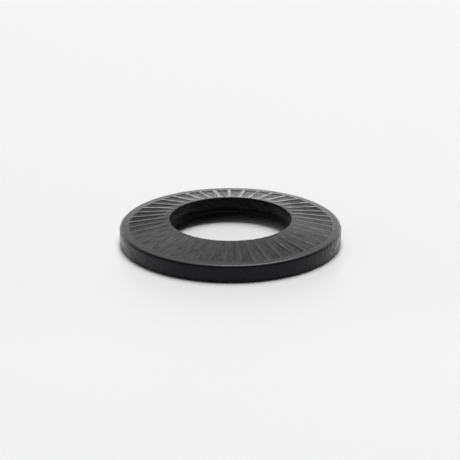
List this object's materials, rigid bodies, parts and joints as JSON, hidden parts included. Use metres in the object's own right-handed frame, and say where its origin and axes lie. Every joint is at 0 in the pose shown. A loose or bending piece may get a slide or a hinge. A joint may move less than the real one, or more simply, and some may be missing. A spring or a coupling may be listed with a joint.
{
  "type": "serrated conical spring washer",
  "caption": "Black coned spring washer with radial ribs on its raised face, put under a bolt head or nut so that the joint keeps its tension and does not turn loose.",
  "frame": {"origin": "centre of the washer, on the plane that it rests on", "axes": "+Z along the bore, towards the raised ribbed face; +X through the middle of a rib"},
  "size_m": [0.024, 0.024, 0.0029],
  "materials": {
    "black_steel": "black oxide on spring steel, satin, fine grained"
  },
  "bodies": {
    "root": {"washer": "black_steel"}
  },
  "joints": []
}
